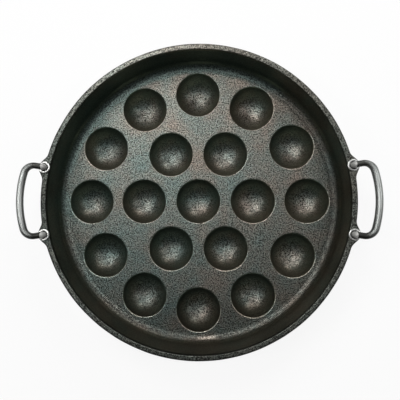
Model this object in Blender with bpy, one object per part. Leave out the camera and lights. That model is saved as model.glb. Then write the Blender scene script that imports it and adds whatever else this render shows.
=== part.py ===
"""Paniyaram pan: a round cast-iron pan with 19 hemispherical cups and two bolted wire handles.

The frame is metres with +Z up. The origin is on the ground under the middle cup, the handles lie
along X, and +Y is the back of the pan. Every piece is one closed solid at its real size.
"""

import math

import bmesh
import bpy
from mathutils import Matrix, Vector

MM = 0.001

# Driving dimensions of the casting, in millimetres.
CUP_MOUTH_RADIUS = 22.0
CUP_DEPTH = 20.0
CUP_LIP_ROUND = 1.2
INNER_LAND = 11.2
OUTER_LAND = 9.8
EDGE_LAND = 4.2
FLOOR_FILLET = 6.0
WELL_DEPTH = 30.0
WALL_DRAFT_DEG = 7.0
RIM_WIDTH = 5.8
RIM_ROUND = 1.2
PLATE_THICKNESS = 4.0
CUP_WALL = 4.0
FOOT_RADIUS = 6.5

# Driving dimensions of the lugs, the handles and their fasteners, in millimetres.
PIN_SPAN = 64.2
PIN_INSET = 1.1
LUG_REACH = 6.4
LUG_HALF_WIDTH = 13.0
LUG_DRAFT = 0.4
ROD_RADIUS = 2.9
GRIP_SWELL = 0.55
HANDLE_REACH = 21.5
HANDLE_SHOULDER = 1.2
GRIP_ARC_RADIUS = 95.0
CORNER_RADIUS = 9.5
BEND_INSIDE_RADIUS = 1.0
WASHER_BAND = 2.0
WASHER_THICKNESS = 1.6
WASHER_EDGE = 0.4
NUT_WALL = 1.8
NUT_THICKNESS = 5.0
NUT_CHAMFER = 0.6
THREAD_STUB = 2.4
THREAD_LEAD = 0.8

# Clearances between separate pieces, in millimetres.
SEAT_GAP = 0.3
LUG_BORE_CLEARANCE = 0.3
WASHER_CLEARANCE = 0.3
NUT_CLEARANCE = 0.3
WASHER_TO_CORNER = 0.5

# How finely round shapes are cut into flat faces.
CUP_SEGMENTS = 18
CUP_RINGS = 4
BUMP_RINGS = 3
BODY_STEP_DEG = 6.0
LUG_STEPS = 8
FILLET_STEPS = 3
ROUND_STEPS = 2
ROD_SEGMENTS = 12
GRIP_STEPS = 5
CORNER_STEPS = 6
BEND_STEPS = 5
BORE_SEGMENTS = 18
HARDWARE_SEGMENTS = 18

# Cups in each ring around the middle one.
INNER_RING_CUPS = 6
OUTER_RING_CUPS = 12

# How far a cutter runs past the face that it crosses, and how far a cup's cutter widens there.
OVERRUN = 2.0
CUTTER_FLARE = 0.5

# Points closer than this are one point, and edges turned by more than this angle stay sharp.
MERGE_DISTANCE = 0.001
SHARP_ANGLE_DEG = 35.0

# Casting: heights above the ground.
CUP_SPHERE_RADIUS = (CUP_MOUTH_RADIUS**2 + CUP_DEPTH**2) / (2 * CUP_DEPTH)
BUMP_RADIUS = CUP_SPHERE_RADIUS + CUP_WALL
CUP_CENTRE_Z = math.sqrt(BUMP_RADIUS**2 - FOOT_RADIUS**2)
FLOOR_Z = CUP_CENTRE_Z - CUP_SPHERE_RADIUS + CUP_DEPTH
RIM_Z = FLOOR_Z + WELL_DEPTH

# Casting: radii from the pan's axis.
INNER_RING_RADIUS = 2 * CUP_MOUTH_RADIUS + INNER_LAND
OUTER_RING_RADIUS = INNER_RING_RADIUS + 2 * CUP_MOUTH_RADIUS + OUTER_LAND
FLOOR_FLAT_RADIUS = OUTER_RING_RADIUS + CUP_MOUTH_RADIUS + EDGE_LAND
WALL_DRAFT = math.radians(WALL_DRAFT_DEG)
FLOOR_CORNER_RADIUS = FLOOR_FLAT_RADIUS + FLOOR_FILLET * math.tan(math.pi / 4 - WALL_DRAFT / 2)
RIM_INNER_RADIUS = FLOOR_CORNER_RADIUS + WELL_DEPTH * math.tan(WALL_DRAFT)
RIM_OUTER_RADIUS = RIM_INNER_RADIUS + RIM_WIDTH
CORNER_CENTRE_Z = FLOOR_Z + FLOOR_FILLET
OUTER_CORNER_RADIUS = FLOOR_FILLET + PLATE_THICKNESS

# Lugs: the pins are the handles' upright legs, which run down through the lugs.
PIN_CIRCLE_RADIUS = RIM_OUTER_RADIUS - PIN_INSET
PIN_ANGLE = math.asin(PIN_SPAN / 2 / PIN_CIRCLE_RADIUS)
PIN_X = PIN_CIRCLE_RADIUS * math.cos(PIN_ANGLE)
LUG_HALF_ANGLE = LUG_HALF_WIDTH / PIN_CIRCLE_RADIUS
LUG_BORE_RADIUS = ROD_RADIUS + LUG_BORE_CLEARANCE

# Fasteners: a washer's hole clears the inside of the bend that lies on it.
BEND_RADIUS = ROD_RADIUS + BEND_INSIDE_RADIUS
BEND_REACH = BEND_INSIDE_RADIUS - math.sqrt(
    max(0.0, BEND_INSIDE_RADIUS**2 - max(0.0, BEND_INSIDE_RADIUS - SEAT_GAP) ** 2)
)
WASHER_HOLE_RADIUS = ROD_RADIUS + BEND_REACH + WASHER_CLEARANCE
WASHER_RADIUS = WASHER_HOLE_RADIUS + WASHER_BAND
NUT_BORE_RADIUS = ROD_RADIUS + NUT_CLEARANCE
NUT_HALF_FLATS = NUT_BORE_RADIUS + NUT_WALL

# The lug ends where the outer corner has drawn back far enough for the washer under it.
WASHER_INNER_REACH = PIN_CIRCLE_RADIUS - WASHER_RADIUS - WASHER_TO_CORNER - FLOOR_FLAT_RADIUS
LUG_UNDER_Z = CORNER_CENTRE_Z - math.sqrt(
    max(0.0, OUTER_CORNER_RADIUS**2 - max(0.0, WASHER_INNER_REACH) ** 2)
)

# Heights of the stack on each leg, from the handle down to the end of its thread.
TOP_WASHER_Z = RIM_Z + SEAT_GAP
ROD_AXIS_Z = TOP_WASHER_Z + WASHER_THICKNESS + SEAT_GAP + ROD_RADIUS
UNDER_WASHER_Z = LUG_UNDER_Z - SEAT_GAP - WASHER_THICKNESS
NUT_Z = UNDER_WASHER_Z - SEAT_GAP - NUT_THICKNESS
LEG_END_Z = NUT_Z - THREAD_STUB

# The four pins, as name, side along X and side along Y.
PINS = (
    ("left_back", -1, 1),
    ("left_front", -1, -1),
    ("right_back", 1, 1),
    ("right_front", 1, -1),
)


def make_material(name, colour, roughness, metallic):
    """A Principled material with the given linear colour."""
    material = bpy.data.materials.new(name)
    material.use_nodes = True
    shader = material.node_tree.nodes["Principled BSDF"]
    shader.inputs["Base Color"].default_value = (*colour, 1.0)
    shader.inputs["Roughness"].default_value = roughness
    shader.inputs["Metallic"].default_value = metallic
    return material


def arc(centre, radius, start, end, steps):
    """Points (across, up) on an arc from one angle to the other, both included."""
    points = []
    for i in range(steps + 1):
        angle = start + (end - start) * i / steps
        points.append((centre[0] + radius * math.cos(angle), centre[1] + radius * math.sin(angle)))
    return points


def mesh_of(name, points, faces):
    """A mesh in metres from points in millimetres, with doubles merged and faces turned outwards."""
    mesh = bpy.data.meshes.new(name)
    shape = bmesh.new()
    corners = [shape.verts.new(Vector(p) * MM) for p in points]
    for face in faces:
        shape.faces.new([corners[i] for i in face])
    bmesh.ops.remove_doubles(shape, verts=shape.verts, dist=MERGE_DISTANCE * MM)
    bmesh.ops.recalc_face_normals(shape, faces=shape.faces)
    shape.to_mesh(mesh)
    shape.free()
    return mesh


def add_object(name, mesh):
    """An object in the scene that shows the mesh."""
    obj = bpy.data.objects.new(name, mesh)
    bpy.context.scene.collection.objects.link(obj)
    return obj


def finish(obj, material):
    """Gives a piece its material and smooth shading that keeps flat faces flat."""
    mesh = obj.data
    if not mesh.materials:
        mesh.materials.append(material)
    mesh.shade_smooth()
    mesh.set_sharp_from_angle(angle=math.radians(SHARP_ANGLE_DEG))
    modifier = obj.modifiers.new("flat_faces_first", "WEIGHTED_NORMAL")
    modifier.keep_sharp = True


def ring_faces(ring_count, per_ring):
    """Quads that join each ring of points to the next one."""
    faces = []
    for ring in range(ring_count - 1):
        for i in range(per_ring):
            a = ring * per_ring + i
            b = ring * per_ring + (i + 1) % per_ring
            faces.append((a, b, b + per_ring, a + per_ring))
    return faces


def turned(name, profile, segments):
    """A closed turned mesh. A profile that starts or ends off the axis is closed with a flat disc."""
    points = []
    for across, up in profile:
        for i in range(segments):
            angle = 2 * math.pi * i / segments
            points.append((across * math.cos(angle), across * math.sin(angle), up))
    faces = ring_faces(len(profile), segments)
    for ring in (0, len(profile) - 1):
        if profile[ring][0] > 0:
            faces.append(tuple(ring * segments + i for i in range(segments)))
    return mesh_of(name, points, faces)


def hollow_turned(name, profile, segments):
    """A turned ring: the profile is a closed loop that stays off the axis."""
    return turned_loop(name, [[p] * segments for p in profile], segments)


def turned_loop(name, rings, segments):
    """A ring-shaped mesh whose closed section may change round the ring."""
    points = []
    for ring in rings:
        for i in range(segments):
            angle = 2 * math.pi * i / segments
            across, up = ring[i]
            points.append((across * math.cos(angle), across * math.sin(angle), up))
    faces = ring_faces(len(rings), segments)
    last = (len(rings) - 1) * segments
    for i in range(segments):
        j = (i + 1) % segments
        faces.append((last + i, last + j, j, i))
    return mesh_of(name, points, faces)


def cup_places():
    """The middle of every cup, as (x, y)."""
    places = [(0.0, 0.0)]
    for radius, count in (
        (INNER_RING_RADIUS, INNER_RING_CUPS),
        (OUTER_RING_RADIUS, OUTER_RING_CUPS),
    ):
        for i in range(count):
            angle = 2 * math.pi * i / count
            places.append((radius * math.cos(angle), radius * math.sin(angle)))
    return places


def pin_place(side_x, side_y):
    """The axis of one upright leg, as (x, y)."""
    return side_x * PIN_X, side_y * PIN_SPAN / 2


def repeated(mesh, places):
    """One mesh that holds a copy of the given mesh at each place. The first mesh is removed."""
    shape = bmesh.new()
    for x, y in places:
        before = len(shape.verts)
        shape.from_mesh(mesh)
        shape.verts.ensure_lookup_table()
        bmesh.ops.translate(shape, verts=shape.verts[before:], vec=Vector((x, y, 0)) * MM)
    name = mesh.name + "_all"
    bpy.data.meshes.remove(mesh)
    joined = bpy.data.meshes.new(name)
    shape.to_mesh(joined)
    shape.free()
    return joined


def body_angles():
    """Angles round the casting: even steps, with closer ones across each lug."""
    lugs = sorted(
        math.atan2(side_y * PIN_SPAN / 2, side_x * PIN_X) % (2 * math.pi) for _, side_x, side_y in PINS
    )
    angles = []
    for i, lug in enumerate(lugs):
        for k in range(LUG_STEPS + 1):
            angles.append(lug + LUG_HALF_ANGLE * (2 * k / LUG_STEPS - 1))
        following = lugs[(i + 1) % len(lugs)] + (2 * math.pi if i == len(lugs) - 1 else 0)
        start, end = lug + LUG_HALF_ANGLE, following - LUG_HALF_ANGLE
        count = max(1, round(math.degrees(end - start) / BODY_STEP_DEG))
        angles += [start + (end - start) * k / count for k in range(1, count)]
    return angles


def lug_share(angle):
    """How far the lug's outline has swelled at this angle: 1 at a pin and 0 away from the lugs."""
    for _, side_x, side_y in PINS:
        pin = math.atan2(side_y * PIN_SPAN / 2, side_x * PIN_X)
        away = abs((angle - pin + math.pi) % (2 * math.pi) - math.pi)
        if away < LUG_HALF_ANGLE:
            return math.cos(math.pi / 2 * away / LUG_HALF_ANGLE) ** 2
    return 0.0


def outer_wall_angle():
    """The direction from the corner's centre to where the outer wall meets the rounded corner."""
    across = RIM_OUTER_RADIUS - FLOOR_FLAT_RADIUS
    up = RIM_Z - RIM_ROUND - CORNER_CENTRE_Z
    distance = math.hypot(across, up)
    return math.atan2(up, across) - math.acos(min(1.0, OUTER_CORNER_RADIUS / distance))


def body_profile():
    """The casting's section as (radius, height, on_lug), from the floor over the rim to the underside."""
    centre = (FLOOR_FLAT_RADIUS, CORNER_CENTRE_Z)
    inside = arc(centre, FLOOR_FILLET, -math.pi / 2, -WALL_DRAFT, FILLET_STEPS)
    inner_edge = (RIM_INNER_RADIUS + RIM_ROUND, RIM_Z - RIM_ROUND)
    inside += arc(inner_edge, RIM_ROUND, math.pi, math.pi / 2, ROUND_STEPS)
    outer_edge = (RIM_OUTER_RADIUS - RIM_ROUND, RIM_Z - RIM_ROUND)
    outside = arc(outer_edge, RIM_ROUND, math.pi / 2, 0, ROUND_STEPS)
    ledge = math.asin(max(-1.0, min(0.0, (LUG_UNDER_Z - CORNER_CENTRE_Z) / OUTER_CORNER_RADIUS)))
    outside += arc(centre, OUTER_CORNER_RADIUS, outer_wall_angle(), ledge, ROUND_STEPS)
    under = arc(centre, OUTER_CORNER_RADIUS, ledge, -math.pi / 2, FILLET_STEPS - 1)
    return (
        [(*p, False) for p in inside] + [(*p, True) for p in outside] + [(*p, False) for p in under]
    )


def lug_face_radius(height):
    """The radius of a lug's outer face, which leans in a little towards its underside."""
    depth = (RIM_Z - height) / (RIM_Z - LUG_UNDER_Z)
    return PIN_CIRCLE_RADIUS + LUG_REACH - LUG_DRAFT * depth


def body_shell():
    """The wall, rim, lugs and plate as one closed mesh, without cups or bores."""
    angles = body_angles()
    shares = [lug_share(a) for a in angles]
    points = []
    profile = body_profile()
    for radius, height, on_lug in profile:
        rounding = max(0.0, RIM_ROUND - (RIM_Z - height))
        inset = RIM_ROUND - math.sqrt(max(0.0, RIM_ROUND**2 - rounding**2))
        for angle, share in zip(angles, shares):
            swell = share * (lug_face_radius(height) - inset - radius) if on_lug else 0.0
            across = radius + swell
            points.append((across * math.cos(angle), across * math.sin(angle), height))
    count = len(angles)
    faces = ring_faces(len(profile), count)
    faces.append(tuple(range(count)))
    faces.append(tuple((len(profile) - 1) * count + i for i in range(count)))
    return mesh_of("pan_body", points, faces)


def bump_mesh():
    """The outside of one cup, from inside the plate down to its flat foot."""
    top_z = FLOOR_Z - PLATE_THICKNESS / 2
    start = math.asin((top_z - CUP_CENTRE_Z) / BUMP_RADIUS)
    end = -math.acos(FOOT_RADIUS / BUMP_RADIUS)
    profile = arc((0, CUP_CENTRE_Z), BUMP_RADIUS, start, end, BUMP_RINGS)
    return turned("bump", profile, CUP_SEGMENTS)


def cup_cutter_mesh():
    """The space inside one cup, with the rounded lip where it meets the floor."""
    lip_z = FLOOR_Z - CUP_LIP_ROUND
    lip_centre = (CUP_MOUTH_RADIUS + CUP_LIP_ROUND, lip_z)
    lip = arc(lip_centre, CUP_LIP_ROUND, math.pi, math.pi / 2, ROUND_STEPS)
    start = math.asin((lip_z - CUP_CENTRE_Z) / CUP_SPHERE_RADIUS)
    bowl = arc((0, CUP_CENTRE_Z), CUP_SPHERE_RADIUS, start, -math.pi / 2, CUP_RINGS)
    bowl[-1] = (0.0, bowl[-1][1])
    above = (lip[-1][0] + CUTTER_FLARE, FLOOR_Z + OVERRUN)
    return turned("cup", [above, *reversed(lip), *bowl[1:]], CUP_SEGMENTS)


def bore_cutter_mesh():
    """The hole for one leg, right through a lug."""
    low, high = LUG_UNDER_Z - OVERRUN, RIM_Z + OVERRUN
    profile = [(LUG_BORE_RADIUS, high), (LUG_BORE_RADIUS, low)]
    return turned("bore", profile, BORE_SEGMENTS)


def add_boolean(obj, operation, mesh):
    """Joins the mesh to the object or cuts it away, from a hidden helper object."""
    helper = add_object(mesh.name + "_helper", mesh)
    helper.hide_render = True
    helper.display_type = "WIRE"
    modifier = obj.modifiers.new(mesh.name, "BOOLEAN")
    modifier.operation = operation
    modifier.solver = "EXACT"
    modifier.object = helper


def apply_booleans(obj):
    """Makes the cut shape the object's own mesh and removes the helper objects."""
    evaluated = obj.evaluated_get(bpy.context.evaluated_depsgraph_get())
    mesh = bpy.data.meshes.new_from_object(evaluated)
    helpers = [modifier.object for modifier in obj.modifiers]
    obj.modifiers.clear()
    obj.data = mesh
    for helper in helpers:
        bpy.data.objects.remove(helper)


def make_body(material):
    """The one-piece iron casting: wall, rim, plate, four lugs and 19 cups."""
    body = add_object("pan_body", body_shell())
    add_boolean(body, "UNION", repeated(bump_mesh(), cup_places()))
    add_boolean(body, "DIFFERENCE", repeated(cup_cutter_mesh(), cup_places()))
    pins = [pin_place(side_x, side_y) for _, side_x, side_y in PINS]
    add_boolean(body, "DIFFERENCE", repeated(bore_cutter_mesh(), pins))
    apply_booleans(body)
    finish(body, material)


def half_handle():
    """Half a handle's centre line, from the grip's middle to a leg's end, as (out, along, up, radius).

    Out is measured from the line through the two legs, along from the middle of the grip, and the
    radius is the rod's.
    """
    grip_centre = HANDLE_REACH - GRIP_ARC_RADIUS
    corner_along = PIN_SPAN / 2 + HANDLE_SHOULDER - CORNER_RADIUS
    corner_out = grip_centre + math.sqrt((GRIP_ARC_RADIUS - CORNER_RADIUS) ** 2 - corner_along**2)
    meet = math.atan2(corner_along, corner_out - grip_centre)
    leg = Vector((0, PIN_SPAN / 2))
    to_corner = Vector((corner_out, corner_along)) - leg
    run = math.atan2(to_corner.y, to_corner.x) + math.asin(CORNER_RADIUS / to_corner.length)
    grip = arc((grip_centre, 0), GRIP_ARC_RADIUS, 0, meet, GRIP_STEPS)
    corner = arc((corner_out, corner_along), CORNER_RADIUS, meet, run + math.pi / 2, CORNER_STEPS)
    swelled = ROD_RADIUS + GRIP_SWELL
    path = [(*p, ROD_AXIS_Z, swelled) for p in grip]
    for i, point in enumerate(corner[1:], start=1):
        ease = i / (len(corner) - 1)
        ease = ease * ease * (3 - 2 * ease)
        path.append((*point, ROD_AXIS_Z, swelled - GRIP_SWELL * ease))
    inwards = Vector((-math.cos(run), -math.sin(run)))
    for across, down in arc((0, 0), BEND_RADIUS, math.pi / 2, 0, BEND_STEPS):
        flat = leg - inwards * (BEND_RADIUS - across)
        path.append((flat.x, flat.y, ROD_AXIS_Z - BEND_RADIUS + down, ROD_RADIUS))
    path.append((leg.x, leg.y, LEG_END_Z + THREAD_LEAD, ROD_RADIUS))
    path.append((leg.x, leg.y, LEG_END_Z, ROD_RADIUS - THREAD_LEAD))
    return path


def swept(name, path, segments):
    """A round rod along a path of (x, y, z, radius), closed with flat ends."""
    centres = [Vector(p[:3]) for p in path]
    points = []
    side = Vector((1, 0, 0))
    for i, centre in enumerate(centres):
        before = centre - centres[i - 1] if i else centres[1] - centre
        after = centres[i + 1] - centre if i < len(centres) - 1 else before
        tangent = (before.normalized() + after.normalized()).normalized()
        side = (side - tangent * side.dot(tangent)).normalized()
        other = tangent.cross(side)
        for k in range(segments):
            angle = 2 * math.pi * k / segments
            offset = side * math.cos(angle) + other * math.sin(angle)
            points.append(centre + offset * path[i][3])
    faces = ring_faces(len(path), segments)
    faces.append(tuple(range(segments)))
    faces.append(tuple((len(path) - 1) * segments + k for k in range(segments)))
    return mesh_of(name, points, faces)


def make_handles(material):
    """The two bent rods. Each ends in two threaded legs that point down through the lugs."""
    half = half_handle()
    other_half = [(out, -along, up, radius) for out, along, up, radius in reversed(half[1:])]
    mesh = swept("handle", other_half + half, ROD_SEGMENTS)
    for name, side in (("left_handle", -1), ("right_handle", 1)):
        handle = add_object(name, mesh)
        turn = Matrix.Rotation(0 if side > 0 else math.pi, 4, "Z")
        handle.matrix_world = Matrix.Translation((side * PIN_X * MM, 0, 0)) @ turn
        finish(handle, material)


def washer_mesh():
    """A flat washer with its edges taken off, standing on its lower face."""
    inner, outer, edge, top = WASHER_HOLE_RADIUS, WASHER_RADIUS, WASHER_EDGE, WASHER_THICKNESS
    profile = [
        (inner, 0),
        (outer - edge, 0),
        (outer, edge),
        (outer, top - edge),
        (outer - edge, top),
        (inner, top),
    ]
    return hollow_turned("washer", profile, HARDWARE_SEGMENTS)


def nut_mesh():
    """A hexagon nut with chamfered corners and a plain bore over the thread."""

    def hexagon(angle):
        within = (angle + math.pi / 6) % (math.pi / 3) - math.pi / 6
        return NUT_HALF_FLATS / math.cos(within)

    angles = [2 * math.pi * i / HARDWARE_SEGMENTS for i in range(HARDWARE_SEGMENTS)]
    flats = [hexagon(a) for a in angles]
    face = NUT_HALF_FLATS - NUT_CHAMFER / 2
    rings = [
        [(NUT_BORE_RADIUS, 0)] * HARDWARE_SEGMENTS,
        [(face, 0)] * HARDWARE_SEGMENTS,
        [(r, NUT_CHAMFER) for r in flats],
        [(r, NUT_THICKNESS - NUT_CHAMFER) for r in flats],
        [(face, NUT_THICKNESS)] * HARDWARE_SEGMENTS,
        [(NUT_BORE_RADIUS, NUT_THICKNESS)] * HARDWARE_SEGMENTS,
    ]
    return turned_loop("nut", rings, HARDWARE_SEGMENTS)


def make_fasteners(washer_material, nut_material):
    """On each leg, a washer above the lug, and a washer and a nut below it."""
    washer, nut = washer_mesh(), nut_mesh()
    for place, side_x, side_y in PINS:
        x, y = pin_place(side_x, side_y)
        for name, mesh, height, material in (
            ("top_washer_", washer, TOP_WASHER_Z, washer_material),
            ("under_washer_", washer, UNDER_WASHER_Z, washer_material),
            ("nut_", nut, NUT_Z, nut_material),
        ):
            piece = add_object(name + place, mesh)
            piece.location = Vector((x, y, height)) * MM
            finish(piece, material)


def main():
    for obj in list(bpy.data.objects):
        bpy.data.objects.remove(obj)
    iron = make_material("seasoned_cast_iron", (0.035, 0.036, 0.035), 0.45, 0.3)
    rod_steel = make_material("handle_steel", (0.42, 0.42, 0.40), 0.3, 1.0)
    washer_steel = make_material("washer_steel", (0.72, 0.72, 0.70), 0.25, 1.0)
    nut_steel = make_material("nut_steel", (0.45, 0.45, 0.44), 0.35, 1.0)
    make_body(iron)
    make_handles(rod_steel)
    make_fasteners(washer_steel, nut_steel)


main()
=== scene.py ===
"""Looks for the paniyaram pan: a finely modelled casting, handles and fasteners on the frame.

Lengths are millimetres in the frame's axes, unless a comment says metres. Objects are in metres.
"""

import math
import random

import bmesh
import bpy
from mathutils import Euler, Matrix, Vector, geometry, noise


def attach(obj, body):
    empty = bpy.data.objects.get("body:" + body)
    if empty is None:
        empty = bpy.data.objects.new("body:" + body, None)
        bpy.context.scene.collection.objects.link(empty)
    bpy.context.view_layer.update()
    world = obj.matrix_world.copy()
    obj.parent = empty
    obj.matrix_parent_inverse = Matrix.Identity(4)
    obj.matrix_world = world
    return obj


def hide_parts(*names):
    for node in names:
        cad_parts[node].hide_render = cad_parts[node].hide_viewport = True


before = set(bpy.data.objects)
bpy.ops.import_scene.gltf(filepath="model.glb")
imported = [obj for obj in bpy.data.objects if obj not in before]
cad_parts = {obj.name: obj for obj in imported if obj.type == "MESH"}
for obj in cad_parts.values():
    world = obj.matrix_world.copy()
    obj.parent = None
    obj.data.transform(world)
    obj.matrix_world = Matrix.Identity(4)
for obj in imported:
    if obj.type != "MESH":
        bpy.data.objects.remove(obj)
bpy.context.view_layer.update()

# A millimetre in metres, and how far surfaces are drawn in to stay inside the solids' box.
MM = 0.001
SLACK = 0.06

# The casting's own sizes, as in the CAD model.
CUP_MOUTH_RADIUS = 22.0
CUP_DEPTH = 20.0
CUP_LIP_ROUND = 1.2
INNER_CUPS, OUTER_CUPS = 6, 12
INNER_LAND = 11.2
OUTER_LAND = 9.8
EDGE_LAND = 4.2
FLOOR_FILLET = 6.0
WELL_DEPTH = 30.0
WALL_DRAFT = math.radians(7.0)
RIM_WIDTH = 5.8
RIM_ROUND = 1.2
PLATE_THICKNESS = 4.0
CUP_WALL = 4.0
FOOT_RADIUS = 6.5

# Lugs, handles and fasteners, as in the CAD model.
PIN_SPAN = 64.2
PIN_INSET = 1.1
LUG_REACH = 6.4
LUG_HALF_WIDTH = 13.0
LUG_DRAFT = 0.4
ROD_RADIUS = 2.9
GRIP_SWELL = 0.55
HANDLE_REACH = 21.5
HANDLE_SHOULDER = 1.2
GRIP_ARC_RADIUS = 95.0
CORNER_RADIUS = 9.5
BEND_RADIUS = 3.9
WASHER_HOLE_RADIUS = 3.486
WASHER_RADIUS = 5.486
WASHER_THICKNESS = 1.6
NUT_HALF_FLATS = 5.0
NUT_THICKNESS = 5.0
SEAT_GAP = 0.3
SEAT_EDGE = 0.5
THREAD_STUB = 2.4
BORE_RADIUS = 3.2

# Heights and radii that follow from them.
CUP_SPHERE = (CUP_MOUTH_RADIUS**2 + CUP_DEPTH**2) / (2 * CUP_DEPTH)
BUMP_SPHERE = CUP_SPHERE + CUP_WALL
CUP_CENTRE_Z = math.sqrt(BUMP_SPHERE**2 - FOOT_RADIUS**2)
FLOOR_Z = CUP_CENTRE_Z - CUP_SPHERE + CUP_DEPTH
UNDER_Z = FLOOR_Z - PLATE_THICKNESS
RIM_Z = FLOOR_Z + WELL_DEPTH
INNER_RING = 2 * CUP_MOUTH_RADIUS + INNER_LAND
OUTER_RING = INNER_RING + 2 * CUP_MOUTH_RADIUS + OUTER_LAND
FLOOR_FLAT = OUTER_RING + CUP_MOUTH_RADIUS + EDGE_LAND
FLOOR_CORNER = FLOOR_FLAT + FLOOR_FILLET * math.tan(math.pi / 4 - WALL_DRAFT / 2)
RIM_INNER = FLOOR_CORNER + WELL_DEPTH * math.tan(WALL_DRAFT)
RIM_OUTER = RIM_INNER + RIM_WIDTH
CORNER_Z = FLOOR_Z + FLOOR_FILLET
CORNER_ROUND = FLOOR_FILLET + PLATE_THICKNESS
PIN_CIRCLE = RIM_OUTER - PIN_INSET
PIN_ANGLE = math.asin(PIN_SPAN / 2 / PIN_CIRCLE)
PIN_X = PIN_CIRCLE * math.cos(PIN_ANGLE)
LUG_HALF_ANGLE = LUG_HALF_WIDTH / PIN_CIRCLE
SEAT_INNER = PIN_CIRCLE - WASHER_RADIUS - SEAT_EDGE
LUG_UNDER_Z = CORNER_Z - math.sqrt(CORNER_ROUND**2 - (SEAT_INNER - FLOOR_FLAT) ** 2)
TOP_WASHER_Z = RIM_Z + SEAT_GAP
ROD_Z = TOP_WASHER_Z + WASHER_THICKNESS + SEAT_GAP + ROD_RADIUS
UNDER_WASHER_Z = LUG_UNDER_Z - SEAT_GAP - WASHER_THICKNESS
NUT_Z = UNDER_WASHER_Z - SEAT_GAP - NUT_THICKNESS
LEG_END_Z = NUT_Z - THREAD_STUB

PINS = (
    ("left_back", -1, 1),
    ("left_front", -1, -1),
    ("right_back", 1, 1),
    ("right_front", 1, -1),
)

# Roundings that the dressed casting has in its own sizes.
CUP_FOOT_EDGE = 0.4
BUMP_FILLET = 0.9
LUG_UNDER_ROUND = 1.3
OUTER_ROUND = 2.1
WELL_FILLET = 8.3
WELL_FLAT = FLOOR_CORNER - WELL_FILLET * math.tan(math.pi / 4 - WALL_DRAFT / 2)

# How finely the casting is meshed. The steps round the wall are radians.
CUP_SEGMENTS = 80
BOWL_RINGS = 17
LIP_ROWS = 5
BUMP_SEGMENTS = 64
BUMP_ROWS = 14
BUMP_FILLET_ROWS = 3
WALL_STEP = math.radians(1.25)
LUG_STEP = math.radians(0.3)
LUG_MARGIN = 1.1
WELL_ROWS = 14
WALL_ROWS = 7
RIM_ROWS = 6
OUTER_ROWS = 9
RIM_PARTS = (1 / 4, 2 / 4, 3 / 4, 0.93)
LEDGE_PARTS = (0.12, 0.4, 0.7)
SUPPORT = 0.3

# The points of the flat sheets: spacing and seed on the floor and underneath, then as shares of
# the spacing a row's height, the random shift and the room left at edges, and as shares of SUPPORT
# the room kept by points round holes and along the outline. CHORD_DROP allows for the holes being
# polygons.
FLOOR_LATTICE, FLOOR_SEED = 2.0, 3
UNDER_LATTICE, UNDER_SEED = 2.6, 5
ROW_HEIGHT = 0.866
SHIFT = 0.12
EDGE_ROOM = 0.8
HOLE_ROOM, OUTLINE_ROOM = 1.2, 1.5
MERGE_IN_PLANE = 1e-5
CHORD_DROP = 0.8

# Distances in metres under which points and edges are merged.
SAME_POINT = 2e-6
NO_LENGTH = 1e-6

# The cutter of a leg bore.
BORE_SEGMENTS = 48
BORE_OVERRUN = 2.0

# The sand-cast skin: features a metre, where the noise starts and how high it is in millimetres.
# It begins at this distance from a leg and at the ground, and grows over these lengths in metres.
SKIN_WAVES = ((28, (0, 0, 0), 0.16), (75, (3, 1, 7), 0.09), (260, (9, 2, 4), 0.05))
SEAT_RADIUS, SEAT_EASE = 0.0065, 0.003
FOOT_EASE = 0.002

# The rod's mesh, the knuckle that each bend swells to, and the screw thread, which starts this far
# above the nut. Its groove is GROOVE_TOP deep, as a share, less GROOVE_SLOPE for each turn from its
# middle.
ROD_SEGMENTS = 36
GRIP_STEPS = 24
CORNER_STEPS = 22
STRAIGHT_STEPS = 8
BEND_STEPS = 14
KNUCKLE_SWELL = 0.3
KNUCKLE_SHIFT = 0.12
THREAD_OVER_NUT = 2.0
THREAD_ROWS = 8
THREAD_DEPTH = 0.55
THREAD_RUN_OUT = 1.2
GROOVE_TOP, GROOVE_SLOPE = 1.13, 2.5
LEG_CHAMFER = 0.7

# The washers' and nuts' meshes and edges.
WASHER_SEGMENTS = 72
WASHER_HOLE_ROUND, WASHER_HOLE_ROWS = 0.3, 3
WASHER_EDGE_ROUND, WASHER_EDGE_ROWS = 0.7, 6
NUT_SEGMENTS = 96
NUT_BORE_GAP = 0.12
NUT_CHAMFER = 0.45
NUT_CONE_INSET = 0.15
NUT_CONE_ANGLE = math.radians(30)
NUT_LEAST_DROP = 0.05
NUT_EDGE_BAND = 0.25
NUT_CORNER_ROUND = 0.3
NUT_CORNER_WEAR = 0.45


def arc(centre, radius, start, end, steps):
    """Points (across, up) on an arc from one angle to the other, in degrees, both included."""
    points = []
    for i in range(steps + 1):
        angle = math.radians(start + (end - start) * i / steps)
        points.append((centre[0] + radius * math.cos(angle), centre[1] + radius * math.sin(angle)))
    return points


def round_angles(count):
    """Even angles once round, in radians."""
    return [2 * math.pi * i / count for i in range(count)]


def circle(radius, count, x=0.0, y=0.0):
    """Points (x, y) evenly round a circle."""
    return [(x + radius * math.cos(a), y + radius * math.sin(a)) for a in round_angles(count)]


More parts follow.
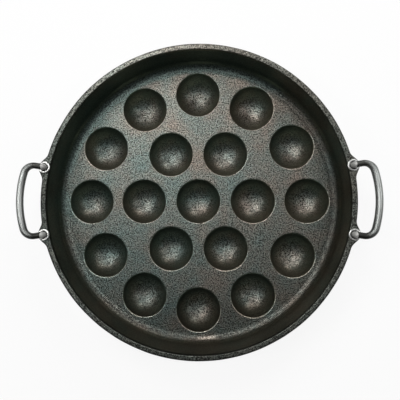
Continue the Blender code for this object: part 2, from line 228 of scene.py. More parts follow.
class Shell:
    """Collects points in millimetres and faces, and makes one mesh of them."""

    def __init__(self):
        self.points = []
        self.faces = []

    def rings(self, rings, closed=False):
        """Joins rings of equal length with quads, and the last ring to the first if closed."""
        start = len(self.points)
        count = len(rings[0])
        for ring in rings:
            self.points.extend(ring)
        pairs = len(rings) if closed else len(rings) - 1
        for k in range(pairs):
            a, b = start + k * count, start + (k + 1) % len(rings) * count
            for i in range(count):
                j = (i + 1) % count
                self.faces.append((a + i, a + j, b + j, b + i))

    def fan(self, ring, tip):
        """Closes a ring of points with triangles that meet at a tip."""
        start = len(self.points)
        self.points.extend(ring)
        self.points.append(tip)
        count = len(ring)
        for i in range(count):
            self.faces.append((start + i, start + (i + 1) % count, start + count))

    def patch(self, points, triangles):
        """Adds a flat patch of triangles."""
        start = len(self.points)
        self.points.extend(points)
        self.faces.extend(tuple(start + i for i in corners) for corners in triangles)

    def mesh(self, name):
        """The mesh in metres, with shared points merged and faces turned outwards."""
        mesh = bpy.data.meshes.new(name)
        mesh.from_pydata([Vector(p) * MM for p in self.points], [], self.faces)
        shape = bmesh.new()
        shape.from_mesh(mesh)
        bmesh.ops.remove_doubles(shape, verts=shape.verts, dist=SAME_POINT)
        bmesh.ops.dissolve_degenerate(shape, edges=shape.edges, dist=NO_LENGTH)
        bmesh.ops.recalc_face_normals(shape, faces=shape.faces)
        shape.to_mesh(mesh)
        shape.free()
        return mesh


def cup_places():
    """The middle of every cup, as (x, y)."""
    places = [(0.0, 0.0)]
    for radius, count in ((INNER_RING, INNER_CUPS), (OUTER_RING, OUTER_CUPS)):
        places += circle(radius, count)
    return places


def pin_angle(side_x, side_y):
    """The direction of a pin from the pan's axis."""
    return math.atan2(side_y * PIN_SPAN / 2, side_x * PIN_X)


def pin_place(side_x, side_y):
    """The axis of one upright leg, as (x, y)."""
    return side_x * PIN_X, side_y * PIN_SPAN / 2


def turned(profile, segments, x=0.0, y=0.0):
    """Rings of points (x, y, z) for a turned profile of (radius, height)."""
    return [[(*p, height) for p in circle(radius, segments, x, y)] for radius, height in profile]


def wall_angles():
    """Angles round the wall: even steps, with close ones across each lug."""
    half = LUG_HALF_ANGLE * LUG_MARGIN
    lugs = sorted(pin_angle(side_x, side_y) % (2 * math.pi) for _, side_x, side_y in PINS)
    angles = []
    for i, lug in enumerate(lugs):
        count = round(2 * half / LUG_STEP)
        angles += [lug - half + 2 * half * k / count for k in range(count + 1)]
        following = lugs[(i + 1) % len(lugs)] + (2 * math.pi if i == len(lugs) - 1 else 0)
        start, end = lug + half, following - half
        count = max(1, round((end - start) / WALL_STEP))
        angles += [start + (end - start) * k / count for k in range(1, count)]
    return angles


def lug_share(angle):
    """How far a lug's outline has swelled at this angle: 1 at a pin and 0 away from the lugs."""
    for _, side_x, side_y in PINS:
        away = abs((angle - pin_angle(side_x, side_y) + math.pi) % (2 * math.pi) - math.pi)
        if away < LUG_HALF_ANGLE:
            return math.cos(math.pi / 2 * away / LUG_HALF_ANGLE) ** 2
    return 0.0


def rounding(depth, radius):
    """How far a rounded edge has drawn back at this depth under its face."""
    short = max(0.0, radius - depth)
    return radius - math.sqrt(radius**2 - short**2)


def steps_between(start, end, steps):
    """The points between two (across, up) points at even steps, without the two themselves."""
    return [
        (start[0] + (end[0] - start[0]) * k / steps, start[1] + (end[1] - start[1]) * k / steps)
        for k in range(1, steps)
    ]


def lug_radius(radius, height, share):
    """The outline's radius at this height, swelled by this share from the wall's to a lug's."""
    depth = (RIM_Z - height) / (RIM_Z - LUG_UNDER_Z)
    face = PIN_CIRCLE + LUG_REACH - LUG_DRAFT * depth
    face -= rounding(RIM_Z - height, RIM_ROUND) + rounding(height - LUG_UNDER_Z, LUG_UNDER_ROUND)
    return radius + share * (face - radius)


def wall_sections():
    """The wall's section as (radius, height), in three parts: inside, outside and underside."""
    draft = math.degrees(WALL_DRAFT)
    inside = arc((WELL_FLAT, FLOOR_Z + WELL_FILLET), WELL_FILLET, -90, -draft, WELL_ROWS)
    touch_z = RIM_Z - RIM_ROUND * (1 - math.sin(WALL_DRAFT))
    touch = FLOOR_CORNER + (touch_z - FLOOR_Z) * math.tan(WALL_DRAFT)
    inside += steps_between(inside[-1], (touch, touch_z), WALL_ROWS)
    inner = (touch + RIM_ROUND * math.cos(WALL_DRAFT), RIM_Z - RIM_ROUND)
    inside += arc(inner, RIM_ROUND, 180 - draft, 90, RIM_ROWS)
    inside += [(inner[0] + SUPPORT, RIM_Z)]

    outer = (RIM_OUTER - OUTER_ROUND, RIM_Z - OUTER_ROUND)
    across, up = outer[0] - FLOOR_FLAT, outer[1] - CORNER_Z
    opening = math.acos((CORNER_ROUND - OUTER_ROUND) / math.hypot(across, up))
    lean = math.degrees(math.atan2(up, across) - opening)
    ledge = math.degrees(math.asin((LUG_UNDER_Z - CORNER_Z) / CORNER_ROUND))
    outside = arc(outer, OUTER_ROUND, 90, lean, OUTER_ROWS)
    corner = arc((FLOOR_FLAT, CORNER_Z), CORNER_ROUND, lean, ledge, OUTER_ROWS)
    outside += steps_between(outside[-1], corner[0], OUTER_ROWS) + corner
    underside = arc((FLOOR_FLAT, CORNER_Z), CORNER_ROUND, ledge, -90, OUTER_ROWS)
    return inside, outside, underside


def wall_rings(angles):
    """The wall's rings from the floor over the rim and the lugs to the underside."""
    inside, outside, underside = wall_sections()
    shares = [lug_share(a) for a in angles]

    def ring(radii, height):
        return [(r * math.cos(a), r * math.sin(a), height) for r, a in zip(radii, angles)]

    def round_ring(radius, height):
        return ring([radius] * len(angles), height)

    def lug_radii(radius, height):
        return [lug_radius(radius, height, share) for share in shares]

    rings = [round_ring(*point) for point in inside]
    start = inside[-1][0]
    ends = lug_radii(RIM_OUTER - OUTER_ROUND, RIM_Z)
    rings += [ring([start + (end - start) * part for end in ends], RIM_Z) for part in RIM_PARTS]
    rings += [ring(lug_radii(*point), point[1]) for point in outside]
    radius, height = outside[-1]
    for part in LEDGE_PARTS:
        rings.append(ring([r + (radius - r) * part for r in lug_radii(radius, height)], height))
    rings += [round_ring(*point) for point in underside]
    return rings


def support_points(outline, places, hole, segments):
    """Points close round each hole and close inside the outline, to keep the shading flat."""
    outer = Vector(outline[0]).length
    gap = SUPPORT * HOLE_ROOM
    points = []
    for place in places:
        others = [Vector(p) for p in places if p != place]
        for angle in round_angles(segments):
            point = Vector(place) + Vector((math.cos(angle), math.sin(angle))) * (hole + SUPPORT)
            if point.length <= outer - gap and all((point - p).length > hole + gap for p in others):
                points.append(point)
    for x, y in outline:
        point = Vector((x, y)) * (1 - SUPPORT / outer)
        if all((point - Vector(p)).length > hole + SUPPORT * OUTLINE_ROOM for p in places):
            points.append(point)
    return points


def lattice_points(outer, places, hole, lattice, seed):
    """Points of an uneven triangular lattice, away from the outline and the holes."""
    chance = random.Random(seed)
    middles = [Vector(p) for p in places]
    room = lattice * EDGE_ROOM
    points = []
    rows = int(outer / (lattice * ROW_HEIGHT)) + 1
    for row in range(-rows, rows + 1):
        for column in range(-rows, rows + 1):
            x = (column + (row % 2) / 2) * lattice + chance.uniform(-SHIFT, SHIFT) * lattice
            y = row * lattice * ROW_HEIGHT + chance.uniform(-SHIFT, SHIFT) * lattice
            point = Vector((x, y))
            inside = point.length <= outer - room
            if inside and all((point - p).length >= hole + room for p in middles):
                points.append(point)
    return points


def land(height, outline, places, hole, segments, lattice, seed):
    """A flat triangulated sheet inside the outline with a round hole at each place."""
    points = [Vector(p) for p in outline]
    edges = [(i, (i + 1) % len(outline)) for i in range(len(outline))]
    for x, y in places:
        start = len(points)
        points += [Vector(p) for p in circle(hole, segments, x, y)]
        edges += [(start + i, start + (i + 1) % segments) for i in range(segments)]
    points += support_points(outline, places, hole, segments)
    points += lattice_points(Vector(outline[0]).length, places, hole, lattice, seed)
    found, _, triangles, _, _, _ = geometry.delaunay_2d_cdt(points, edges, [], 0, MERGE_IN_PLANE)
    inside = hole * (1 - CHORD_DROP * (math.pi / segments) ** 2)
    kept = []
    for corners in triangles:
        middle = sum((found[i] for i in corners), Vector((0, 0))) / len(corners)
        if all((middle - Vector(p)).length > inside for p in places):
            kept.append(tuple(corners))
    return [(p.x, p.y, height) for p in found], kept


def cup_profile():
    """The radius of a cup's hole in the floor, and its section over the lip to near the bottom."""
    reach = CUP_SPHERE + CUP_LIP_ROUND
    drop = CUP_CENTRE_Z - FLOOR_Z + CUP_LIP_ROUND
    hole = math.sqrt(reach**2 - drop**2)
    meet = math.degrees(math.atan2(drop, -hole))
    profile = arc((hole, FLOOR_Z - CUP_LIP_ROUND), CUP_LIP_ROUND, 90, meet, LIP_ROWS)
    bowl = arc((0, CUP_CENTRE_Z), CUP_SPHERE, meet - 180, -90, BOWL_RINGS)
    return hole, profile + bowl[1:-1]


def bump_profile():
    """The radius of a cup's hole in the underside, and its outside from there to the flat foot."""
    reach = BUMP_SPHERE + BUMP_FILLET
    drop = CUP_CENTRE_Z - UNDER_Z + BUMP_FILLET
    across = math.sqrt(reach**2 - drop**2)
    meet = math.degrees(math.atan2(drop, -across))
    profile = arc((across, UNDER_Z - BUMP_FILLET), BUMP_FILLET, 90, meet, BUMP_FILLET_ROWS)
    foot = -math.degrees(math.acos(FOOT_RADIUS / BUMP_SPHERE))
    profile += arc((0, CUP_CENTRE_Z), BUMP_SPHERE, meet - 180, foot, BUMP_ROWS)[1:]
    return across, profile + [(FOOT_RADIUS - CUP_FOOT_EDGE, 0.0), (FOOT_RADIUS / 2, 0.0)]


def casting_mesh():
    """The whole casting as one closed mesh, before its four bores."""
    shell = Shell()
    angles = wall_angles()
    rings = wall_rings(angles)
    shell.rings(rings)
    places = cup_places()
    hole, cup = cup_profile()
    outline = [(x, y) for x, y, _ in rings[0]]
    shell.patch(*land(FLOOR_Z, outline, places, hole, CUP_SEGMENTS, FLOOR_LATTICE, FLOOR_SEED))
    hole, bump = bump_profile()
    outline = [(x, y) for x, y, _ in rings[-1]]
    shell.patch(*land(UNDER_Z, outline, places, hole, BUMP_SEGMENTS, UNDER_LATTICE, UNDER_SEED))
    for x, y in places:
        rings = turned(cup, CUP_SEGMENTS, x, y)
        shell.rings(rings)
        shell.fan(rings[-1], (x, y, CUP_CENTRE_Z - CUP_SPHERE))
        rings = turned(bump, BUMP_SEGMENTS, x, y)
        shell.rings(rings)
        shell.fan(rings[-1], (x, y, 0.0))
    return shell.mesh("casting")


def add_object(name, data):
    """An object in the scene that shows the mesh, lamp or camera."""
    obj = bpy.data.objects.new(name, data)
    bpy.context.scene.collection.objects.link(obj)
    return obj


def smooth(mesh, sharp_degrees):
    """Smooth shading that keeps the edges over this angle sharp."""
    mesh.shade_smooth()
    mesh.set_sharp_from_angle(angle=math.radians(sharp_degrees))


def cut(obj, cutter_mesh):
    """Cuts the closed mesh away from the object for good."""
    cutter = add_object("cutter", cutter_mesh)
    modifier = obj.modifiers.new("cut", "BOOLEAN")
    modifier.operation = "DIFFERENCE"
    modifier.solver = "MANIFOLD"
    modifier.object = cutter
    evaluated = obj.evaluated_get(bpy.context.evaluated_depsgraph_get())
    mesh = bpy.data.meshes.new_from_object(evaluated)
    obj.modifiers.clear()
    obj.data = mesh
    bpy.data.objects.remove(cutter)


def bore_mesh():
    """The four leg bores as one cutter."""
    shell = Shell()
    top, end = RIM_Z + BORE_OVERRUN, LUG_UNDER_Z - BORE_OVERRUN
    for _, side_x, side_y in PINS:
        x, y = pin_place(side_x, side_y)
        rings = turned([(BORE_RADIUS, top), (BORE_RADIUS, end)], BORE_SEGMENTS, x, y)
        shell.rings(rings)
        shell.fan(rings[0], (x, y, top))
        shell.fan(rings[1], (x, y, end))
    return shell.mesh("bores")


def ease_in(distance, length):
    """0 at no distance or less, and 1 from this length on."""
    return min(1.0, max(0.0, distance / length))


def cast_skin(mesh):
    """Gives a casting the slight unevenness of a sand mould, away from the fasteners' seats."""
    pins = [Vector((*pin_place(side_x, side_y), 0)) * MM for _, side_x, side_y in PINS]
    normals = [v.vector.copy() for v in mesh.vertex_normals]
    for vertex, normal in zip(mesh.vertices, normals):
        place = vertex.co
        waves = 0.0
        for scale, offset, size in SKIN_WAVES:
            waves += noise.noise(place * scale + Vector(offset)) * size
        near = min((Vector((place.x, place.y, 0)) - pin).length for pin in pins)
        free = ease_in(near - SEAT_RADIUS, SEAT_EASE)
        foot = ease_in(place.z, FOOT_EASE)
        vertex.co = place + normal * ((waves - SLACK) * MM * free * foot)


def grip_and_corner():
    """A handle's level line as (out, along, up, radius), and its direction into the leg."""
    grip_centre = HANDLE_REACH - GRIP_ARC_RADIUS
    corner_along = PIN_SPAN / 2 + HANDLE_SHOULDER - CORNER_RADIUS
    corner_out = grip_centre + math.sqrt((GRIP_ARC_RADIUS - CORNER_RADIUS) ** 2 - corner_along**2)
    meet = math.degrees(math.atan2(corner_along, corner_out - grip_centre))
    to_corner = Vector((corner_out, corner_along)) - Vector((0, PIN_SPAN / 2))
    run = math.atan2(to_corner.y, to_corner.x) + math.asin(CORNER_RADIUS / to_corner.length)
    grip = arc((grip_centre, 0), GRIP_ARC_RADIUS, 0, meet, GRIP_STEPS)
    end = math.degrees(run) + 90
    corner = arc((corner_out, corner_along), CORNER_RADIUS, meet, end, CORNER_STEPS)
    swelled = ROD_RADIUS + GRIP_SWELL - SLACK
    path = [(*p, ROD_Z, swelled) for p in grip]
    for i, point in enumerate(corner[1:], start=1):
        ease = i / (len(corner) - 1)
        ease = ease * ease * (3 - 2 * ease)
        path.append((*point, ROD_Z, swelled + (ROD_RADIUS - swelled) * ease))
    return path, Vector((-math.cos(run), -math.sin(run)))


def half_handle():
    """A handle's centre line from its middle to a leg's end, as (out, along, up, radius)."""
    path, inwards = grip_and_corner()
    leg = Vector((0, PIN_SPAN / 2))
    corner_end = Vector(path[-1][:2])
    bend_start = leg - inwards * BEND_RADIUS
    for k in range(1, STRAIGHT_STEPS):
        flat = corner_end.lerp(bend_start, k / STRAIGHT_STEPS)
        path.append((flat.x, flat.y, ROD_Z, ROD_RADIUS))
    top = ROD_Z - BEND_RADIUS
    bend = arc((0, 0), BEND_RADIUS, 90, 0, BEND_STEPS)
    for i, (across, down) in enumerate(bend):
        knuckle = math.sin(math.pi * i / BEND_STEPS) ** 2
        wider = 1 + KNUCKLE_SHIFT * knuckle / BEND_RADIUS
        flat = leg - inwards * (BEND_RADIUS - across * wider)
        path.append((flat.x, flat.y, top + down * wider, ROD_RADIUS + KNUCKLE_SWELL * knuckle))
    thread = NUT_Z + NUT_THICKNESS + THREAD_OVER_NUT
    for k in range(1, STRAIGHT_STEPS + 1):
        path.append((leg.x, leg.y, top + (thread - top) * k / STRAIGHT_STEPS, ROD_RADIUS))
    return path


def thread_rings(x, y, top, end, segments):
    """Rings of a right-hand thread, one turn a millimetre, from its run-out to the leg's end."""
    rings = []
    steps = round((top - end) * THREAD_ROWS)
    for k in range(steps + 1):
        height = top + (end - top) * k / steps
        depth = THREAD_DEPTH * min(1.0, (top - height) / THREAD_RUN_OUT)
        lead = max(0.0, LEG_CHAMFER - (height - end))
        ring = []
        for i, angle in enumerate(round_angles(segments)):
            turn = (height - top - i / segments) % 1.0
            groove = min(1.0, max(0.0, GROOVE_TOP - GROOVE_SLOPE * abs(turn - 0.5)))
            radius = min(ROD_RADIUS - depth * groove, ROD_RADIUS - lead)
            ring.append((x + radius * math.cos(angle), y + radius * math.sin(angle), height))
        rings.append(ring)
    return rings


def swept_rings(path, segments, side):
    """Rings round a path of (x, y, z, radius), all started on the same side."""
    angles = round_angles(segments)
    centres = [Vector(p[:3]) for p in path]
    rings = []
    for i, centre in enumerate(centres):
        before = centre - centres[i - 1] if i else centres[1] - centre
        after = centres[i + 1] - centre if i < len(centres) - 1 else before
        tangent = (before.normalized() + after.normalized()).normalized()
        side = (side - tangent * side.dot(tangent)).normalized()
        other = tangent.cross(side)
        radius = path[i][3]
        ring = [centre + (side * math.cos(a) + other * math.sin(a)) * radius for a in angles]
        rings.append([tuple(p) for p in ring])
    return rings


def handle_mesh():
    """One bent rod with a threaded leg at each end, about the line through its two legs."""
    half = half_handle()
    path = [(out, -along, up, radius) for out, along, up, radius in reversed(half[1:])] + half
    shell = Shell()
    rings = swept_rings(path, ROD_SEGMENTS, Vector((1, 0, 0)))
    shell.rings(rings)
    for ring, along in ((rings[0], -PIN_SPAN / 2), (rings[-1], PIN_SPAN / 2)):
        top = ring[0][2]
        screw = thread_rings(0.0, along, top, LEG_END_Z, ROD_SEGMENTS)
        first = math.atan2(ring[0][1] - along, ring[0][0])
        ahead = math.atan2(ring[1][1] - along, ring[1][0])
        forward = 1 if math.sin(ahead - first) > 0 else -1
        turn = round(first / (2 * math.pi / ROD_SEGMENTS))
        order = [(turn + forward * k) % ROD_SEGMENTS for k in range(ROD_SEGMENTS)]
        aligned = [[screw_ring[i] for i in order] for screw_ring in screw]
        aligned[0] = ring
        shell.rings(aligned)
        shell.fan(aligned[-1], (0.0, along, LEG_END_Z))
    return shell.mesh("handle")


def washer_mesh():
    """A flat washer with rounded edges, standing on its lower face."""
    small, large, top = WASHER_HOLE_ROUND, WASHER_EDGE_ROUND, WASHER_THICKNESS
    inner, outer = WASHER_HOLE_RADIUS + small, WASHER_RADIUS - large
    profile = arc((inner, small), small, 180, 270, WASHER_HOLE_ROWS)
    profile += arc((outer, large), large, 270, 360, WASHER_EDGE_ROWS)
    profile += arc((outer, top - large), large, 0, 90, WASHER_EDGE_ROWS)
    profile += arc((inner, top - small), small, 90, 180, WASHER_HOLE_ROWS)
    shell = Shell()
    shell.rings(turned(profile, WASHER_SEGMENTS), closed=True)
    return shell.mesh("washer")


def nut_outline(angles):
    """The nut's radius at each angle: a hexagon with slightly turned corners."""
    corner = NUT_HALF_FLATS / math.cos(math.pi / 6)
    radii = []
    for angle in angles:
        within = (angle + math.pi / 6) % (math.pi / 3) - math.pi / 6
        radius = NUT_HALF_FLATS / math.cos(within)
        radii.append(radius - max(0.0, radius - (corner - NUT_CORNER_ROUND)) * NUT_CORNER_WEAR)
    return radii


def nut_mesh():
    """A hexagon nut whose corners are turned off to a cone above and below."""
    angles = round_angles(NUT_SEGMENTS)
    outline = nut_outline(angles)
    bore = ROD_RADIUS + NUT_BORE_GAP
    cone_start = NUT_HALF_FLATS - NUT_CONE_INSET
    slope = math.tan(NUT_CONE_ANGLE)
    drops = [max(NUT_LEAST_DROP, (r - cone_start) * slope) for r in outline]
    lower = [d + NUT_EDGE_BAND for d in drops]
    top = NUT_THICKNESS
    face = [(bore, NUT_CHAMFER), (bore + NUT_CHAMFER, 0.0)]
    face += [(cone_start - SUPPORT, 0.0), (cone_start, 0.0)]
    rings = turned(face, NUT_SEGMENTS)
    for heights in (drops, lower, [top - h for h in lower], [top - h for h in drops]):
        corners = zip(outline, angles, heights)
        rings.append([(r * math.cos(a), r * math.sin(a), h) for r, a, h in corners])
    rings += turned([(radius, top - height) for radius, height in reversed(face)], NUT_SEGMENTS)
    shell = Shell()
    shell.rings(rings, closed=True)
    return shell.mesh("nut")


def feed(node, inputs):
    """Sets a node's inputs, by name or number, to numbers or colours, or links values to them."""
    for key, value in inputs.items():
        socket = node.inputs[key]
        if isinstance(value, Value):
            node.id_data.links.new(value.socket, socket)
        elif isinstance(value, tuple):
            socket.default_value = (*value, 1.0)
        else:
            socket.default_value = value
    return node


def result(tree, kind, output, inputs=None):
    """What a new node of this kind gives for these inputs."""
    return Value(feed(tree.nodes.new("ShaderNode" + kind), inputs or {}).outputs[output])


def mixed(tree, way, share, first, second):
    """Two colours mixed in this way."""
    node = tree.nodes.new("ShaderNodeMix")
    node.data_type = "RGBA"
    node.blend_type = way
    return Value(feed(node, {"Factor": share, "A": first, "B": second}).outputs["Result"])


def mixed_shaders(tree, share, first, second):
    """Two shaders mixed."""
    return result(tree, "MixShader", "Shader", {0: share, 1: first, 2: second})


class Value:
    """A number, colour, vector or shader that a node gives. Arithmetic adds Math nodes."""

    def __init__(self, socket):
        self.socket = socket
        self.tree = socket.id_data

    def maths(self, operation, *values):
        """A Math node over the values."""
        node = self.tree.nodes.new("ShaderNodeMath")
        node.operation = operation
        return Value(feed(node, dict(enumerate(values))).outputs["Value"])

    def __add__(self, other):
        return self.maths("ADD", self, other)

    def __sub__(self, other):
        return self.maths("SUBTRACT", self, other)

    def __rsub__(self, other):
        return self.maths("SUBTRACT", other, self)

    def __mul__(self, other):
        return self.maths("MULTIPLY", self, other)

    def __truediv__(self, other):
        return self.maths("DIVIDE", self, other)

    def __abs__(self):
        return self.maths("ABSOLUTE", self)

    def most(self, other):
        """The larger of this number and another."""
        return self.maths("MAXIMUM", self, other)

    def length(self, across):
        """How far away a point is that lies this far one way and so far across."""
        return self.maths("SQRT", self * self + across * across)

    def ramp(self, span, start, end):
        """Goes from start to end over the span, and is held beyond it."""
        ends = {"From Min": span[0], "From Max": span[1], "To Min": start, "To Max": end}
        return result(self.tree, "MapRange", "Result", {"Value": self, **ends})

    def rise(self, span):
        """From 0 to 1 over the span."""
        return self.ramp(span, 0, 1)

    def fall(self, span):
        """From 1 to 0 over the span."""
        return self.ramp(span, 1, 0)

    def between(self, first, second):
        """This share of the way from one number to another."""
        return (second - first) * self + first

    def mix(self, first, second):
        """This share of the way from one colour to another."""
        return mixed(self.tree, "MIX", self, first, second)

    def tinted(self, other):
        """This colour times another, or times a number."""
        return mixed(self.tree, "MULTIPLY", 1.0, self, other)

    def colours(self, stops):
        """A colour ramp through the stops, which are (position, colour) in rising order."""
        node = self.tree.nodes.new("ShaderNodeValToRGB")
        elements = node.color_ramp.elements
        for i, (position, colour) in enumerate(stops):
            element = elements[i] if i < len(elements) else elements.new(position)
            element.position = position
            element.color = (*colour, 1.0)
        return Value(feed(node, {"Fac": self}).outputs["Color"])

    def axis(self, name):
        """One coordinate of this vector."""
        return result(self.tree, "SeparateXYZ", name, {"Vector": self})

    def noise(self, scale, detail, roughness):
        """Noise at this place, with so many features a metre."""
        settings = {"Scale": scale, "Detail": detail, "Roughness": roughness}
        return result(self.tree, "TexNoise", "Fac", {"Vector": self, **settings})

    def bump(self, strength, height, below=None):
        """The normal of a surface with this relief, so many millimetres high, over another one."""
        inputs = {"Height": self, "Strength": strength, "Distance": height * MM}
        if below is not None:
            inputs["Normal"] = below
        return result(self.tree, "Bump", "Normal", inputs)


class Finish:
    """A new material, its shader, and its points' place in metres and by axis in millimetres."""

    def __init__(self, name):
        self.material = bpy.data.materials.new(name)
        self.material.use_nodes = True
        self.tree = self.material.node_tree
        self.shader = self.tree.nodes["Principled BSDF"]
        self.place = result(self.tree, "TexCoord", "Object")
        self.right, self.back, self.up = (self.place.axis(name) / MM for name in "XYZ")

    def set(self, colour, roughness, metallic):
        """Sets what the surface looks like."""
        feed(self.shader, {"Base Color": colour, "Roughness": roughness, "Metallic": metallic})


# Noise textures of the finishes: features a metre, detail and roughness, and where most values lie.
IRON_GRAIN = (820, 2.5, 0.65)
IRON_SPECK = (1500, 1.0, 0.5)
IRON_STAIN = (34, 4.0, 0.6)
STEEL_CLOUD = (90, 3.0, 0.6)
STEEL_SCRATCH = (1500, 2.0, 0.6)
ROD_MOTTLE = (420, 3.0, 0.7)
NOISE_SPAN = (0.3, 0.7)
GRAIN_SPAN = (0.40, 0.60)
STAIN_SPAN = (0.32, 0.68)

# Spans over the casting: from side to side, the back half, the four ends of the rim and the end of
# the well in millimetres, and the height of the normal at which a face stops looking down.
ACROSS = (-130, 130)
FAR_BACK = (20, 90)
RIM_START = (WELL_DEPTH - 4, WELL_DEPTH - 2)
FRONT_RIM, BACK_RIM = (-150, -125), (125, 150)
LEFT_RIM, RIGHT_RIM = (-150, -124), (128, 146)
WELL_END = (144, 145)
TURN_OVER, TURN_UP = (0.0, 0.06), (-0.05, 0.0)

# The iron's grain: its colours, how far level a face has to be for it, and its relief.
GRAIN_DARK, GRAIN_LIGHT = (0.014, 0.014, 0.013), (0.222, 0.222, 0.216)
GRAIN_TILT, STEEP_GRAIN = (0.55, 0.98), 0.25
GRAIN_STRENGTH, GRAIN_HEIGHT = 0.85, 0.4
SPECK_STRENGTH, SPECK_HEIGHT = 0.3, 0.2
IRON_ROUGHNESS, IRON_METALLIC = (0.33, 0.43), 0.9

# The iron's colours from blue green over grey to rust, and what makes them warmer or cooler: oil
# stains at random, painted warm light on faces turned to the back, painted cool light low on the
# back wall, and warmer towards the back, the right and the back of the rim.
OIL_AND_LIGHT_COLOURS = ((0.08, (0.76, 1.0, 0.95)), (0.5, (0.95, 1.0, 0.91)), (0.95, (1.14, 0.98, 0.85)))
OIL_AND_LIGHT_NEUTRAL, RIM_NEUTRAL, OUTSIDE_NEUTRAL = 0.5, 0.6, 0.5
WARM_STAINS = (0.12, 0.88)
WARM_LIGHT_FACING_BACK = 0.60
WARM_BACKWARDS, WARM_TO_BACK = (-50, 120), (-0.10, 0.14)
WARM_TO_RIGHT = (-0.14, 0.14)
WARM_BACK_RIM = 0.2
COOL_LIGHT, COOL_LIGHT_LEAN, COOL_LIGHT_BACKWARDS = -0.85, -0.4, (55, 125)
COOL_LIGHT_START, COOL_LIGHT_END = (-3.5, 1), (6, 16)
OLIVE, CLEAN = (0.97, 1.0, 0.87), (1.0, 1.0, 1.0)
OLIVE_TILT = (0.5, 0.9)

# Painted shade in the corner between floor and wall. It starts past the flat floor, sooner at the
# far right and later in front, and ends above the floor, lower at the back. Its depths are shares
# of the brightness.
CORNER_SHADE_START, CORNER_SHADE_START_FRONT, CORNER_SHADE_FRONT = (0.5, 4.5), (2.4, 4.6), (-90, -30)
FAR_RIGHT, CORNER_SHADE_FAR_RIGHT, CORNER_SHADE_SHIFT = (0.64, 0.77), (-40, 130), 4.5
CORNER_SHADE_END, CORNER_SHADE_END_BACK = (2, 6), (0.4, 1.9)
CORNER_SHADE_BACKWARDS, CORNER_SHADE_DEPTHS, CORNER_SHADE_LEFT = (-60, 50), (-0.54, -0.64), 0.06
DEEP_START, DEEP_CORNER_SHADE = (1, 2.5), -0.13

# Painted light on the floor, lighter at the back and darker in front, worn cup lips made lighter
# still as a painted highlight, bowls lighter towards their bottoms and a painted highlight on the
# fillet in front, by height above the floor, distance past its flat part and how level a face is,
# with its gains as shares of the brightness.
FLOOR_TOP, FLOOR_LIGHT_GAIN = (0.3, 1.5), 0.24
FLOOR_FRONT, FLOOR_FRONT_SHADE = (-120, -85), -0.12
LIP_FOOT, LIP_TOP, LIP_TILT, LIP_WEAR_AND_HIGHLIGHT = (-1.5, -0.9), (0, 0.6), (0.90, 0.98), 1.8
FLOOR_END = (-0.6, 0)
BOWL_HEIGHT, BOWL_GAIN = (-16, -8), 0.14
# A painted highlight on the fillet in front, a little right of the middle.
GLINT_CENTRE, GLINT_SIDE, GLINT_FRONT = 9, (6, 12), (-120, -100)
GLINT_START, GLINT_END = (1.8, 2.8), (4.2, 5.2)

# Painted light and shade on the wall, low on the back wall, on the outside and on the rim, in the
# same way. OUTSIDE_FACTOR is a factor instead.
WALL_TILT, WALL_GAINS = (0.10, 0.45), (-0.29, 0.15)
FOOT_START, FOOT_END, FOOT_LIGHT_GAIN = (1.4, 2.6), (4, 18), 0.25
OUTSIDE_FACTOR = 0.74
RIM_LEAN, RIM_BACKWARDS, RIM_GAINS = -0.26, (131, 150), (-0.12, 0.34)
EDGE_TILT, EDGE_GAINS = (0.86, 0.985), (-0.60, 0.1)
RIM_FRONT_GAIN, RIM_LEFT_GAIN, RIM_RIGHT_GAIN = -0.10, -0.46, -0.19


